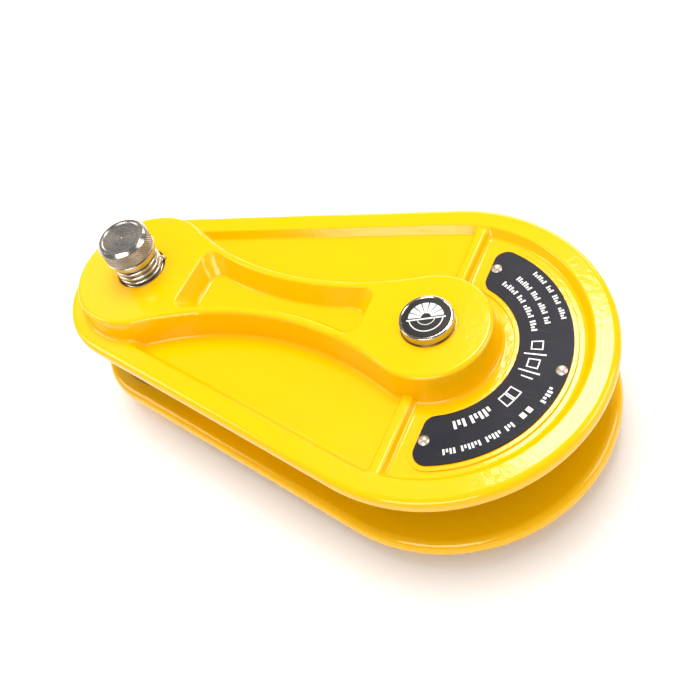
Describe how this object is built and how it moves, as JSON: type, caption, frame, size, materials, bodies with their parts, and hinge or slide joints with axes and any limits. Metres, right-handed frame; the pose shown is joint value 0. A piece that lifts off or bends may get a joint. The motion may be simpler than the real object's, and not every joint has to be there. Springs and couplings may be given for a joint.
{
  "type": "double sheave block",
  "caption": "Rigging block with ribbed yellow cheeks, a rope sheave on its axle, a smaller sling sheave on a post in line with it, and a spring latch that frees the front cheek to swing open.",
  "frame": {"origin": "centre of the rope sheave, on the axle's axis, midway between the cheeks", "axes": "+Z along the axle towards the front cheek with the latch knob, +X from the sling post's axis towards the axle and on to the broad end"},
  "size_m": [0.3412, 0.192, 0.1188],
  "materials": {
    "yellow_coat": "glossy yellow powder coat",
    "polished_steel": "polished stainless steel",
    "ground_steel": "ground steel",
    "spring_steel": "bright drawn wire",
    "bronze": "machined bronze",
    "sheave_alloy": "dark anodised aluminium",
    "blue_plate": "blue-grey anodised with pale engraving",
    "black_plastic": "black"
  },
  "bodies": {
    "back_side": {"axle": "ground_steel", "axle_cap": "polished_steel", "axle_key": "ground_steel", "back_cheek": "yellow_coat", "bayonet_ring": "ground_steel", "cap_disc": "black_plastic", "cap_washer": "ground_steel", "post_dowels": "ground_steel", "post_screw": "polished_steel", "post_screw_washer": "polished_steel", "rope_sheave_back_washer": "black_plastic", "rope_sheave_front_washer": "black_plastic", "sling_post": "ground_steel", "sling_sheave_back_washer": "black_plastic", "sling_sheave_front_washer": "black_plastic"},
    "rope_wheel": {"rope_sheave": "sheave_alloy", "rope_sheave_bush": "bronze"},
    "sling_wheel": {"sling_sheave": "sheave_alloy", "sling_sheave_bush": "bronze"},
    "front_side": {"front_cheek": "yellow_coat", "guide_bush": "bronze", "latch_spring": "spring_steel", "plate_rivets": "polished_steel", "rating_plate": "blue_plate", "spring_seat": "ground_steel", "swing_bush": "bronze"},
    "latch_slide": {"latch_thrust_washer": "ground_steel"},
    "latch_turner": {"knob_cross_pin": "ground_steel", "latch_knob": "polished_steel", "latch_pin": "ground_steel"}
  },
  "joints": [
    {"name": "cheek_swing", "type": "hinge", "parent": "back_side", "child": "front_side", "pos_m": [0, 0, 0.033], "axis": [0, 0, 1], "continuous": true},
    {"name": "rope_sheave_spin", "type": "hinge", "parent": "back_side", "child": "rope_wheel", "pos_m": [0, 0, 0], "axis": [0, 0, 1], "continuous": true},
    {"name": "sling_sheave_spin", "type": "hinge", "parent": "back_side", "child": "sling_wheel", "pos_m": [-0.19, 0, 0], "axis": [0, 0, 1], "continuous": true},
    {"name": "latch_push", "type": "slide", "parent": "front_side", "child": "latch_slide", "axis": [0, 0, -1], "range_m": [0, 0.0078], "stiffness_N_per_m": 2000, "springref_m": -0.01, "deforming": ["latch_spring"]},
    {"name": "latch_turn", "type": "hinge", "parent": "latch_slide", "child": "latch_turner", "pos_m": [-0.19, 0, 0.04], "axis": [0, 0, 1], "range_deg": [-90, 0]}
  ]
}
